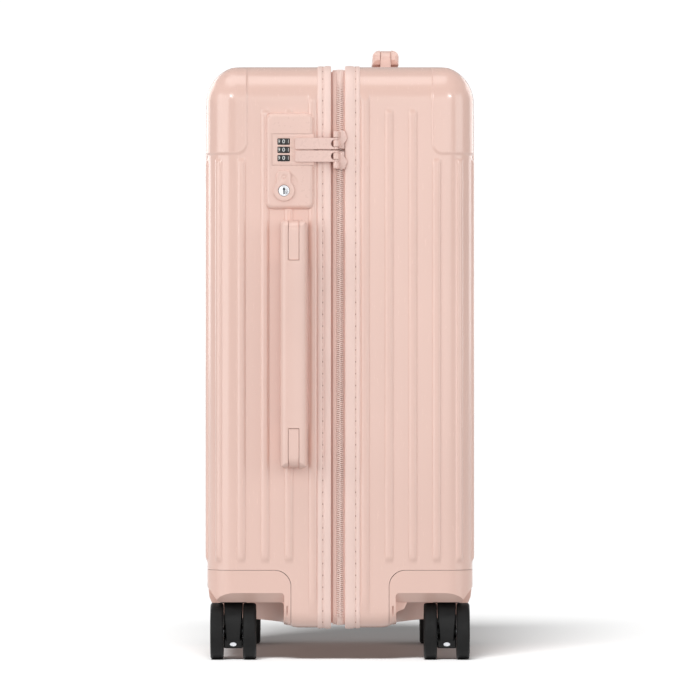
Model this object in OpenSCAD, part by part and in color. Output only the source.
// Hard shell cabin suitcase on four twin-wheel casters.
// +Z is up, +X is the side with the lock and the side handle, -X is the hinge side,
// -Y is the front shell and +Y the back shell with the trolley handle.
// The origin is on the floor, under the middle of the whole object.

/* [Shell] */
// Width of the shells, from the hinge side to the lock side
case_w = 390; // [340:5:440]
// Depth over both shells
case_d = 230; // [224:2:270]
// Height of the shells' flat top above the floor
case_top = 514; // [500:2:640]
// Height of the lowest line of the shells above the floor
belly_z = 28; // [27:1:29]
// Wall thickness of the shells
wall = 2.5; // [2:0.5:3]
// Radius of the top edges
top_r = 32; // [24:1:36]
// Radius of the upright edges
edge_r = 24; // [14:1:28]
// Radius of the bottom edges on the lock and hinge sides
low_r = 14; // [10:1:18]

/* [Rim and zip] */
// Distance of the front shell's rim from the middle of the zip
front_rim = 9; // [8:0.5:10]
// Distance of the back shell's rim from the middle of the zip
back_rim = 4.3; // [4.2:0.1:5]
// Width of the stitched trim along the front rim
front_trim_w = 10.5; // [8:0.5:12]
// Width of the stitched trim along the back rim
back_trim_w = 13; // [10:0.5:14]
// How far the trims stand off the shells
trim_t = 1.2; // [0.8:0.1:1.4]
// Width of the closed zip chain
chain_w = 5.8; // [5:0.2:6.4]

/* [Lock] */
// Width of the lock panel
lock_w = 41.7; // [40:0.5:44]
// Height of the lock panel
lock_h = 83; // [80:1:88]
// How far the lock panel stands off the shell
lock_t = 4.5; // [4:0.1:4.6]
// Radius of a number dial
dial_r = 7; // [6.5:0.1:7.2]
// Width of a number dial
dial_w = 5; // [4.6:0.1:5.2]
// Distance from one dial to the next
dial_pitch = 7.15; // [6.8:0.05:7.4]
// Radius of the key plug
plug_r = 4.9; // [4:0.1:5]

/* [Carry handles] */
// Length of a carry handle's grip
grip_len = 214.6; // [200:2:230]
// Width of a carry handle's grip
grip_w = 22.9; // [20:0.5:24]
// Height of the stowed side grip above the shell
grip_h = 24; // [22:0.5:26]
// Height of the stowed top grip above the shell
top_grip_h = 17.6; // [16.6:0.2:24]
// Thickness of the grip over the fingers
grip_t = 12; // [10:0.5:13]
// Length of the tongue in each end of a grip
tongue_len = 35; // [30:1:38]
// Width of the slot that the tongue stands in
slot_w = 9.7; // [9:0.1:11]

/* [Trolley handle] */
// Distance between the two telescopic tubes
tube_gap = 180; // [150:5:220]
// Length of the trolley grip
trolley_len = 212; // [205:1:250]
// Distance of the tubes from the middle of the zip
trolley_y = 74; // [72:0.5:75]

/* [Casters] */
// Radius of a wheel
wheel_r = 24.5; // [22:0.5:24.5]
// Width of a wheel
wheel_w = 11.3; // [9:0.1:11.5]
// Width of the fork between the twin wheels
fork_w = 16.4; // [14:0.2:16.6]
// Distance from the swivel axis to the axle
trail = 13; // [8:1:14]
// Distance of the swivel axes from the middle of the zip
caster_y = 92.5; // [91:0.5:94]
// Distance of the swivel axes from the nearest side face
caster_in = 36; // [35:1:38]

/* [Hidden] */
$fn = 48;

shell_col = [0.91, 0.78, 0.73];
fabric_col = [0.80, 0.70, 0.66];
dark_col = [0.13, 0.13, 0.14];
metal_col = [0.75, 0.75, 0.77];

// Gap between neighbouring pieces that don't move on each other
seat = 0.05;
// Gap between a sliding piece and its guide
slide_gap = 0.25;
// Number of straight steps in a rounded corner of the shells
corner_steps = 7;

// The shells' middle lies off the origin, because only the lock side carries a handle
mid_x = -(grip_h - trim_t) / 2;
half_w = case_w / 2;
half_d = case_d / 2;
side_x = mid_x + half_w;
hinge_x = mid_x - half_w;
// The lowest line rises from the belly to this height next to the wheels
skirt_z = belly_z + 5.5;
belly_y = 21;
skirt_y = 46;

// Depth of the zip chain's middle under the shells' outer face
chain_depth = 2.9;
chain_t = 1.8;
tape_t = 0.6;
// Half of the channel between the two rows of teeth, which the sliders' wedges run in
channel = 0.7;
// On the hinge side the zip ends this far from the case's top and bottom, and the fabric hinge takes over
zip_end = 46;

// Corner blocks that the wheel housings fill
housing_w = 84;
housing_y = 42.6;
housing_top = 77.8;
housing_r = 14;
deck_z = 50;
deck_t = 4;
cup_r = 15;
cup_top = 66;
recess_r = 12.5;
recess_top = 61.5;
boss_r = 11;
boss_top = 74;
bush_r = 8;
stem_r = 5;
well_r = 44.6;
crown_r = 11.5;
fork_top = 16;
axle_r = 3;
swivel_x = half_w - caster_in;

lock_y = -43.35;
lock_z = 431.5;
insert_y = [-58.7, -23.3];
insert_z = [428, 455];
insert_t = 1.2;
dial_y = -48.65;
dial_z = 441.2;
dial_x = side_x - 1.5;
key_y = -48.4;
key_z = 406;
lock_depth = 9.5;

// Room between the shells and the lining, and the lining's own thickness
lining_gap = 3.4;
lining_t = 1.2;
// Straps and divider tabs end just short of the lining
strap_in = wall + lining_gap + lining_t + 0.2;
strap_z = [200, 380];
strap_y = back_rim + 8;
strap_w = 32;
strap_t = 1.6;
buckle_w = 46;
buckle_h = 40;
tab_h = 24;
divider_low = 96;

pull_z = [435.75, 446.65];
pull_w = 9.7;
pull_y = -3.4;
pull_x = side_x + 6;
pull_t = 2;

side_handle_y = -39.9;
side_handle_z = 273.3;
top_handle_y = 40;
ear_gap = 1.6;
top_ear_gap = 4.6;

outer_tube = [24, 15];
middle_tube = [20.4, 11.4];
inner_tube = [16.8, 7.8];
tube_wall = 1.5;
tube_low = 84;
tube_x = [mid_x - tube_gap / 2, mid_x + tube_gap / 2];
tray_floor = case_top - 20;
bezel_t = 0.6;

function arc_points(cx, cy, r, from, to) =
    [for (i = [0:corner_steps]) let (a = from + (to - from) * i / corner_steps)
        [cx + r * cos(a), cy + r * sin(a)]];

// A rectangle with one radius for its two low corners and one for its two high corners
function soft_rect(x0, y0, x1, y1, low, high) = concat(
    arc_points(x1 - low, y0 + low, low, -90, 0),
    arc_points(x1 - high, y1 - high, high, 0, 90),
    arc_points(x0 + high, y1 - high, high, 90, 180),
    arc_points(x0 + low, y0 + low, low, 180, 270));

// The case seen from the lock side, shrunk by the given inset
function side_outline(in) = concat(
    [[-skirt_y, skirt_z + in], [-belly_y, belly_z + in], [belly_y, belly_z + in], [skirt_y, skirt_z + in]],
    arc_points(half_d - low_r, skirt_z + low_r, low_r - in, -90, 0),
    arc_points(half_d - top_r, case_top - top_r, top_r - in, 0, 90),
    arc_points(-half_d + top_r, case_top - top_r, top_r - in, 90, 180),
    arc_points(-half_d + low_r, skirt_z + low_r, low_r - in, 180, 270));

// The case seen from the front, shrunk by the given inset
function front_outline(in) =
    soft_rect(hinge_x + in, belly_z + in, side_x - in, case_top - in, low_r - in, top_r - in);

module along_x(x0, x1) { translate([x0, 0, 0]) rotate([90, 0, 90]) linear_extrude(x1 - x0) children(); }
module along_y(y0, y1) { translate([0, y1, 0]) rotate([90, 0, 0]) linear_extrude(y1 - y0) children(); }
module along_z(z0, z1) { translate([0, 0, z0]) linear_extrude(z1 - z0) children(); }
module box(low, high) { translate(low) cube(high - low); }
module rod_x(x0, x1, y, z, r) { translate([x0, y, z]) rotate([0, 90, 0]) cylinder(h = x1 - x0, r = r); }
module rod_y(y0, y1, x, z, r) { translate([x, y1, z]) rotate([90, 0, 0]) cylinder(h = y1 - y0, r = r); }
module rod_z(z0, z1, x, y, r) { translate([x, y, z0]) cylinder(h = z1 - z0, r = r); }

// The whole case as a solid, shrunk by an inset and cut to a depth range
module case_solid(in, y0, y1) {
    intersection() {
        along_x(hinge_x - 1, side_x + 1) polygon(side_outline(in));
        along_y(y0, y1) polygon(front_outline(in));
        along_z(0, case_top + 1)
            polygon(soft_rect(hinge_x + in, -half_d + in, side_x - in, half_d - in, edge_r - in, edge_r - in));
    }
}

// A band round the rim, between two insets and two depths
module rim_band(out_in, deep_in, y0, y1) {
    along_y(y0, y1) difference() {
        polygon(front_outline(out_in));
        polygon(front_outline(deep_in));
    }
}

// One face of a corner block: open at the outer side, with a round inner corner at the top
function block_outline(inner, outer, grow) = concat(
    [[inner - grow, -1], [outer, -1], [outer, housing_top + grow]],
    arc_points(inner - grow + housing_r, housing_top + grow - housing_r, housing_r, 90, 180));

module corner_block(grow) {
    intersection() {
        along_x(half_w - housing_w - grow, half_w + 2) polygon(block_outline(housing_y, half_d + 2, grow));
        along_y(housing_y - grow, half_d + 2) polygon(block_outline(half_w - housing_w, half_w + 2, grow));
    }
}

// The lock side's back corner is described, and mirrored to the others
module at_corner(sx, sy) {
    translate([mid_x, 0, 0]) mirror([sx < 0 ? 1 : 0, 0, 0]) mirror([0, sy < 0 ? 1 : 0, 0]) children();
}

module corner_blocks(grow) {
    for (sx = [-1, 1], sy = [-1, 1]) at_corner(sx, sy) corner_block(grow);
}

module shell_wall(y0, y1) {
    difference() {
        case_solid(0, y0, y1);
        case_solid(wall, y0 < 0 ? -half_d : y0 - 1, y0 < 0 ? y1 + 1 : half_d);
        corner_blocks(seat);
    }
}

module back_shell() {
    color(shell_col) difference() {
        shell_wall(back_rim, half_d);
        // Opening under the trolley bezel
        box([mid_x - trolley_len / 2 - 1, trolley_y - 12, case_top - 8],
            [mid_x + trolley_len / 2 + 1, trolley_y + 12, case_top + 1]);
    }
}

module front_shell() {
    color(shell_col) difference() {
        shell_wall(-half_d, -front_rim);
        // Opening for the works of the lock
        box([side_x - 10, lock_y - lock_w / 2 + 3, lock_z - lock_h / 2 + 4],
            [side_x + 1, lock_y + lock_w / 2 - 3, lock_z + lock_h / 2 - 4]);
    }
}

module back_trim() {
    color(shell_col) rim_band(-trim_t, -seat, back_rim, back_rim + back_trim_w);
}

module front_trim() {
    color(shell_col) rim_band(-trim_t, -seat, -front_rim - front_trim_w, -front_rim);
}

// The stretch of the hinge side between the two ends of the zip
module hinge_stretch(short) {
    box([hinge_x - 1, -half_d, belly_z + zip_end + short], [hinge_x + 10, half_d, case_top - zip_end - short]);
}

// One side's tape or teeth, a band all round but for the fabric hinge
module zip_band(depth, t, y0, y1) {
    difference() {
        rim_band(depth, depth + t, y0, y1);
        hinge_stretch(0);
    }
}

module back_zip_tape() {
    color(fabric_col) zip_band(wall + seat, tape_t, chain_w / 2 + seat, 8.8);
}

module front_zip_tape() {
    color(fabric_col) zip_band(wall + seat, tape_t, -13.5, -chain_w / 2 - seat);
}

module back_zip_teeth() {
    color(fabric_col) zip_band(chain_depth - chain_t / 2, chain_t, channel, chain_w / 2);
}

module front_zip_teeth() {
    color(fabric_col) zip_band(chain_depth - chain_t / 2, chain_t, -chain_w / 2, -channel);
}

// Fabric that joins the two halves along the hinge side
module hinge_fabric() {
    color(fabric_col) intersection() {
        rim_band(wall + seat, wall + seat + 0.8, -front_rim + 0.6, 8.8);
        hinge_stretch(0.5);
    }
}

// A thin bag inside one half, open towards the rim
module lining(y_floor, y_rim, skin) {
    in = wall + lining_gap;
    near = min(y_floor, y_rim);
    far = max(y_floor, y_rim);
    deep_near = y_floor < y_rim ? near + skin : near - 1;
    deep_far = y_floor < y_rim ? far + 1 : far - skin;
    block_gap = 0.6;
    difference() {
        case_solid(in, near, far);
        corner_blocks(block_gap);
        difference() {
            case_solid(in + skin, deep_near, deep_far);
            corner_blocks(block_gap + skin);
        }
    }
}

module back_lining() { color(fabric_col) lining(trolley_y - 12.6, back_rim + 5.2, lining_t); }

module front_lining() {
    color(fabric_col) difference() {
        lining(-half_d + wall + 0.6, -front_rim - 5, lining_t);
        box([side_x - lock_depth - 2, lock_y - lock_w / 2, lock_z - lock_h / 2],
            [side_x, lock_y + lock_w / 2, lock_z + lock_h / 2]);
    }
}

// Panel that closes the front half, held off the lining by four webbing tabs
module front_divider() {
    gap = wall + 12;
    color(fabric_col) along_y(-front_rim - 9, -front_rim - 6) {
        polygon(soft_rect(hinge_x + gap, divider_low, side_x - gap, case_top - gap, 20, 24));
        for (z = strap_z)
            translate([hinge_x + strap_in, z - tab_h / 2]) square([case_w - 2 * strap_in, tab_h]);
    }
}

module pack_straps() {
    end = buckle_w / 2 + 0.3;
    color(fabric_col) for (z = strap_z, s = [-1, 1])
        box([s < 0 ? hinge_x + strap_in : mid_x + end, strap_y, z - strap_w / 2],
            [s < 0 ? mid_x - end : side_x - strap_in, strap_y + strap_t, z + strap_w / 2]);
}

module strap_buckle() {
    color(dark_col) for (z = strap_z) along_y(strap_y - 2.4, strap_y + 4.2)
        polygon(soft_rect(mid_x - buckle_w / 2, z - buckle_h / 2, mid_x + buckle_w / 2, z + buckle_h / 2, 5, 5));
}

// The lock: a raised panel outside the shell with a shallow works box behind it
module lock_panel() {
    y0 = lock_y - lock_w / 2;
    z0 = lock_z - lock_h / 2;
    bevel = 3.6;
    color(shell_col) difference() {
        union() {
            along_x(side_x + seat, side_x + 2)
                polygon(soft_rect(y0, z0, y0 + lock_w, z0 + lock_h, 5, 5));
            along_x(side_x + 2 - seat, side_x + lock_t)
                polygon(soft_rect(y0 + bevel, z0 + bevel, y0 + lock_w - bevel, z0 + lock_h - bevel, 3, 3));
            box([side_x - lock_depth, y0 + 4, z0 + 5], [side_x + 1, y0 + lock_w - 4, z0 + lock_h - 5]);
        }
        // Seat of the insert
        box([side_x + lock_t - insert_t, insert_y[0] - seat, insert_z[0] - seat],
            [side_x + lock_t + 1, y0 + lock_w + 1, insert_z[1] + seat]);
        // Room for the dials
        box([dial_x - dial_r - 0.8, dial_y - dial_r - 0.8, dial_z - 1.5 * dial_pitch - 0.4],
            [side_x + lock_t + 1, dial_y + dial_r + 0.8, dial_z + 1.5 * dial_pitch + 0.4]);
        rod_z(dial_z - 15, dial_z + 15, dial_x, dial_y, 1.5);
        // Bore of the key plug
        rod_x(side_x - 8, side_x + lock_t + 1, key_y, key_z, plug_r + 0.06);
    }
}

module lock_insert() {
    color(shell_col) difference() {
        box([side_x + lock_t - insert_t + seat, insert_y[0], insert_z[0]],
            [side_x + lock_t - 0.3, insert_y[1], insert_z[1]]);
        for (i = [-1:1])
            box([side_x, dial_y - 5.35, dial_z + i * dial_pitch - 2.85],
                [side_x + lock_t + 1, dial_y + 5.35, dial_z + i * dial_pitch + 2.85]);
    }
}

module dial(i) {
    color(dark_col) difference() {
        rod_z(dial_z + i * dial_pitch - dial_w / 2, dial_z + i * dial_pitch + dial_w / 2, dial_x, dial_y, dial_r);
        rod_z(dial_z - 15, dial_z + 15, dial_x, dial_y, 1.55);
    }
}

module dial_1() { dial(1); }
module dial_2() { dial(0); }
module dial_3() { dial(-1); }

module dial_spindle() {
    color(metal_col) rod_z(dial_z - 14, dial_z + 14, dial_x, dial_y, 1.48);
}

module lock_escutcheon() {
    color(shell_col) difference() {
        union() {
            rod_x(side_x + lock_t + seat, side_x + lock_t + 1.5, key_y, key_z, 9.2);
            along_x(side_x + lock_t + seat, side_x + lock_t + 1.5)
                polygon(soft_rect(key_y - 6.4, key_z + 5, key_y + 6, key_z + 17.4, 2, 4));
        }
        rod_x(side_x + lock_t - 1, side_x + lock_t + 2, key_y, key_z, plug_r + 0.06);
    }
}

module key_plug() {
    color(metal_col) difference() {
        rod_x(side_x - 7.5, side_x + lock_t + 1, key_y, key_z, plug_r);
        box([side_x - 4, key_y - 0.8, key_z - 3.2], [side_x + lock_t + 2, key_y + 0.8, key_z + 3.2]);
    }
}

// Zip slider: lower plate and upper block with a wedge between them, and a lug with a pin for the pull.
// The body's low and high ends are given from the pin.
module zip_slider(pin_z, low, high) {
    deep = side_x - chain_depth;
    color(shell_col) {
        box([deep - 2.6, -5, pin_z + low], [deep - 1.6, 3.9, pin_z + high]);
        box([deep - 1.65, -0.4, pin_z + low + 1], [deep + 1.55, 0.4, pin_z + high - 1]);
        box([deep + 1.5, -5.4, pin_z + low], [side_x + 1.55, 3.9, pin_z + high]);
        box([side_x + 1.5, -5.4, pin_z + low], [side_x + 3, 6.2, pin_z + high]);
        hull() {
            box([side_x + 2.9, pull_y - 2.4, pin_z - 1.4], [side_x + 3, pull_y + 5, pin_z + 1.4]);
            rod_z(pin_z - 1.4, pin_z + 1.4, pull_x, pull_y, 1.9, $fn = 32);
        }
        rod_z(pin_z - 4.6, pin_z + 4.6, pull_x, pull_y, 0.9);
    }
}

module zip_slider_upper() { zip_slider(pull_z[1], -4.6, 11.2); }
module zip_slider_lower() { zip_slider(pull_z[0], -13.2, 4.6); }

module zip_pull(pin_z) {
    reach = 35.3;
    color(shell_col) difference() {
        union() {
            box([pull_x - pull_t / 2, pull_y - reach, pin_z - pull_w / 2],
                [pull_x + pull_t / 2, pull_y - 3, pin_z + pull_w / 2]);
            for (s = [-1, 1]) translate([0, 0, pin_z + s * 3.3]) {
                rod_z(-1.5, 1.5, pull_x, pull_y, 1.9);
                box([pull_x - pull_t / 2, pull_y - 4, -1.5], [pull_x + pull_t / 2, pull_y - 1, 1.5]);
            }
        }
        rod_z(pin_z - 6, pin_z + 6, pull_x, pull_y, 0.96);
    }
}

module zip_pull_upper() { zip_pull(pull_z[1]); }
module zip_pull_lower() { zip_pull(pull_z[0]); }

// Carry handle pieces lie along local X and rise along local Z from the shell's face
module handle_grip(high, gap) {
    end = grip_len / 2;
    ear = end - tongue_len - 3;
    difference() {
        intersection() {
            along_y(-grip_w / 2, grip_w / 2) polygon(concat(
                [[-ear, high - grip_t], [-ear - 4, gap], [-end + 3, gap]],
                arc_points(-end + 9, high - 9, 9, 180, 90),
                arc_points(end - 9, high - 9, 9, 90, 0),
                [[end - 3, gap], [ear + 4, gap], [ear, high - grip_t]]));
            along_z(0, high + 1) polygon(soft_rect(-end, -grip_w / 2, end, grip_w / 2, 4.5, 4.5));
            along_x(-end - 1, end + 1) polygon(soft_rect(-grip_w / 2, 0, grip_w / 2, high, 1, 5));
        }
        for (s = [-1, 1]) translate([s * (end - tongue_len / 2 + 1), 0, high / 2])
            cube([tongue_len + 2, slot_w, high + 2], center = true);
    }
}

// Base plates on the shell, each with the tongue that guides one end of the grip
module handle_mounts(high) {
    end = grip_len / 2;
    for (s = [-1, 1]) mirror([s < 0 ? 1 : 0, 0, 0]) {
        box([end - tongue_len, -10, seat], [end - 2, 10, 1]);
        intersection() {
            along_y(-slot_w / 2 + slide_gap, slot_w / 2 - slide_gap) polygon(concat(
                [[end - tongue_len + slide_gap, 0.9]],
                [[end - 0.6, 0.9]],
                arc_points(end - 9.6, high - 10, 9, 0, 90),
                [[end - tongue_len + slide_gap, high - 1]]));
            along_z(0.9, high) square([grip_len, slot_w], center = true);
        }
    }
}

module at_side_handle() { translate([side_x, side_handle_y, side_handle_z]) rotate([0, 90, 0]) children(); }
module at_top_handle() { translate([mid_x, top_handle_y, case_top]) children(); }

module side_handle_grip() { color(shell_col) at_side_handle() handle_grip(grip_h, ear_gap); }
module side_handle_mounts() { color(shell_col) at_side_handle() handle_mounts(grip_h); }
module top_handle_grip() { color(shell_col) at_top_handle() handle_grip(top_grip_h, top_ear_gap); }
module top_handle_mounts() { color(shell_col) at_top_handle() handle_mounts(top_grip_h); }

// Trolley handle

module tube_pair(size, z0, z1, grow) {
    for (x = tube_x) translate([x, trolley_y, (z0 + z1) / 2])
        cube([size[0] + 2 * grow, size[1] + 2 * grow, z1 - z0], center = true);
}

module hollow_tubes(size, z0, z1) {
    difference() {
        tube_pair(size, z0, z1, 0);
        tube_pair(size, z0 - 1, z1 + 1, -tube_wall);
    }
}

module trolley_block(half_x, half_y, z0, z1) {
    box([mid_x - half_x, trolley_y - half_y, z0], [mid_x + half_x, trolley_y + half_y, z1]);
}

module trolley_bezel() {
    half = trolley_len / 2;
    color(shell_col) difference() {
        union() {
            trolley_block(half + 0.9, 11.9, tray_floor - 2, case_top + 0.3);
            trolley_block(half + 4, 14.2, case_top + seat, case_top + bezel_t);
        }
        trolley_block(half - 0.6, 10.4, tray_floor, case_top + 1);
        tube_pair(outer_tube, tray_floor - 3, case_top, seat);
    }
}

module trolley_outer_tubes() { color(metal_col) hollow_tubes(outer_tube, tube_low, tray_floor); }
module trolley_middle_tubes() { color(metal_col) hollow_tubes(middle_tube, tube_low + 4, tray_floor + 0.2); }
module trolley_inner_tubes() { color(metal_col) hollow_tubes(inner_tube, tube_low + 8, tray_floor + 6); }

module trolley_grip() {
    half = trolley_len / 2 - 1;
    color(shell_col) difference() {
        along_z(tray_floor + 0.5, case_top + 0.4) translate([mid_x, trolley_y])
            polygon(soft_rect(-half, -10, half, 10, 4, 4));
        tube_pair(inner_tube, tray_floor, tray_floor + 6 + seat, seat);
        trolley_block(16.3, 5.3, case_top - 6, case_top + 1);
    }
}

module trolley_button() { color(shell_col) trolley_block(16, 5, case_top - 2.6, case_top + 1); }

// Wheel housings

module housing_block(in) {
    intersection() {
        translate([-mid_x, 0, 0]) case_solid(in, housing_y, half_d);
        corner_block(0);
        // Lower edges that slant in under the faces
        along_y(0, half_d + 1) polygon([[0, 0], [half_w - 9 - in, 0], [half_w - 9 - in, deck_z],
            [half_w - in, 58.3], [half_w, 90], [0, 90]]);
        along_x(0, half_w + 1) polygon([[0, 0], [half_d - 10.4 - in, 0], [half_d - 10.4 - in, deck_z - 0.5],
            [half_d - in, 63.5], [half_d, 90], [0, 90]]);
    }
}

module wheel_housing(sx, sy) {
    color(shell_col) at_corner(sx, sy) difference() {
        union() {
            difference() {
                housing_block(0);
                intersection() {
                    housing_block(3);
                    box([0, 0, deck_z + deck_t], [half_w, half_d, case_top]);
                }
                box([0, 0, deck_z + deck_t], [half_w - 3.5, half_d - 14, case_top]);
                rod_z(0, deck_z, swivel_x, caster_y, well_r);
            }
            intersection() {
                rod_z(deck_z + 1, cup_top, swivel_x, caster_y, cup_r);
                housing_block(0);
            }
            rod_z(cup_top - 1, boss_top, swivel_x, caster_y, boss_r);
        }
        rod_z(deck_z - 1, recess_top, swivel_x, caster_y, recess_r);
        rod_z(recess_top - 1, boss_top + 1, swivel_x, caster_y, bush_r);
    }
}

module swivel_bushes(sy) {
    color(dark_col) for (sx = [-1, 1]) at_corner(sx, sy) difference() {
        rod_z(recess_top + 0.1, boss_top, swivel_x, caster_y, bush_r - seat);
        rod_z(recess_top - 1, boss_top + 1, swivel_x, caster_y, stem_r + 0.06);
    }
}

// Heads of the screws that hold each housing's deck from the inside
module housing_screws(sy) {
    spots = [[half_w - housing_w + 9, caster_y - 34], [half_w - housing_w + 9, caster_y - 12],
             [half_w - 30, housing_y + 9]];
    deck_top = deck_z + deck_t;
    color(metal_col) for (sx = [-1, 1], p = spots)
        at_corner(sx, sy) rod_z(deck_top + 0.02, deck_top + 2, p[0], p[1], 3.4);
}

// Caster pieces: sx is 1 at the lock side, sy is 1 at the back; every caster trails towards the lock side
module at_caster(sx, sy) { translate([mid_x + sx * swivel_x, sy * caster_y, 0]) children(); }

module caster_fork(sx, sy) {
    web_r = wheel_r - 10;
    shoulder_z = deck_z - 0.5;
    color(dark_col) at_caster(sx, sy) difference() {
        union() {
            rod_z(shoulder_z - 1, recess_top - 0.8, 0, 0, crown_r);
            rod_z(recess_top - 1, boss_top - 1, 0, 0, stem_r);
            along_y(-fork_w / 2, fork_w / 2) hull() {
                translate([trail, wheel_r]) circle(r = web_r);
                translate([-fork_top, shoulder_z - 3]) square([2 * fork_top, 3]);
            }
        }
        rod_y(-fork_w, fork_w, trail, wheel_r, axle_r + 0.03);
    }
}

module caster_axle(sx, sy) {
    reach = fork_w / 2 + wheel_w - 1;
    color(metal_col) at_caster(sx, sy) rod_y(-reach, reach, trail, wheel_r, axle_r);
}

// One of the twin wheels; out is 1 for the wheel away from the zip and -1 for the one next to it
module wheel(sx, sy, out) {
    y0 = fork_w / 2 + 0.3;
    round_r = 2.5;
    profile = concat(
        [[axle_r + 0.06, 0], [wheel_r - round_r, 0]],
        arc_points(wheel_r - round_r, round_r, round_r, -90, 0),
        arc_points(wheel_r - round_r, wheel_w - round_r, round_r, 0, 90),
        [[wheel_r - 6, wheel_w], [wheel_r - 7, wheel_w - 1.5], [7, wheel_w - 1.5], [6, wheel_w - 0.5],
         [axle_r + 0.06, wheel_w - 0.5]]);
    color(dark_col) at_caster(sx, sy) translate([trail, sy * out * y0, wheel_r])
        mirror([0, sy * out < 0 ? 1 : 0, 0]) rotate([-90, 0, 0]) rotate_extrude($fn = 96) polygon(profile);
}

module wheel_housing_back_lock() { wheel_housing(1, 1); }
module wheel_housing_back_hinge() { wheel_housing(-1, 1); }
module wheel_housing_front_lock() { wheel_housing(1, -1); }
module wheel_housing_front_hinge() { wheel_housing(-1, -1); }
module back_swivel_bushes() { swivel_bushes(1); }
module front_swivel_bushes() { swivel_bushes(-1); }
module back_housing_screws() { housing_screws(1); }
module front_housing_screws() { housing_screws(-1); }

back_shell();
back_trim();
back_zip_tape();
back_zip_teeth();
back_lining();
pack_straps();
strap_buckle();
hinge_fabric();
top_handle_mounts();
trolley_bezel();
trolley_outer_tubes();
wheel_housing_back_lock();
wheel_housing_back_hinge();
back_swivel_bushes();
back_housing_screws();
front_shell();
front_trim();
front_zip_tape();
front_zip_teeth();
front_lining();
front_divider();
lock_panel();
lock_insert();
lock_escutcheon();
dial_spindle();
side_handle_mounts();
wheel_housing_front_lock();
wheel_housing_front_hinge();
front_swivel_bushes();
front_housing_screws();
dial_1();
dial_2();
dial_3();
key_plug();
zip_slider_upper();
zip_slider_lower();
zip_pull_upper();
zip_pull_lower();
side_handle_grip();
top_handle_grip();
trolley_middle_tubes();
trolley_inner_tubes();
trolley_grip();
trolley_button();
caster_fork(1, -1);  // caster_fork_front_lock
caster_fork(-1, -1);  // caster_fork_front_hinge
caster_fork(1, 1);  // caster_fork_back_lock
caster_fork(-1, 1);  // caster_fork_back_hinge
caster_axle(1, -1);  // caster_axle_front_lock
caster_axle(-1, -1);  // caster_axle_front_hinge
caster_axle(1, 1);  // caster_axle_back_lock
caster_axle(-1, 1);  // caster_axle_back_hinge
wheel(1, -1, 1);  // wheel_front_lock_outer
wheel(1, -1, -1);  // wheel_front_lock_inner
wheel(-1, -1, 1);  // wheel_front_hinge_outer
wheel(-1, -1, -1);  // wheel_front_hinge_inner
wheel(1, 1, 1);  // wheel_back_lock_outer
wheel(1, 1, -1);  // wheel_back_lock_inner
wheel(-1, 1, 1);  // wheel_back_hinge_outer
wheel(-1, 1, -1);  // wheel_back_hinge_inner
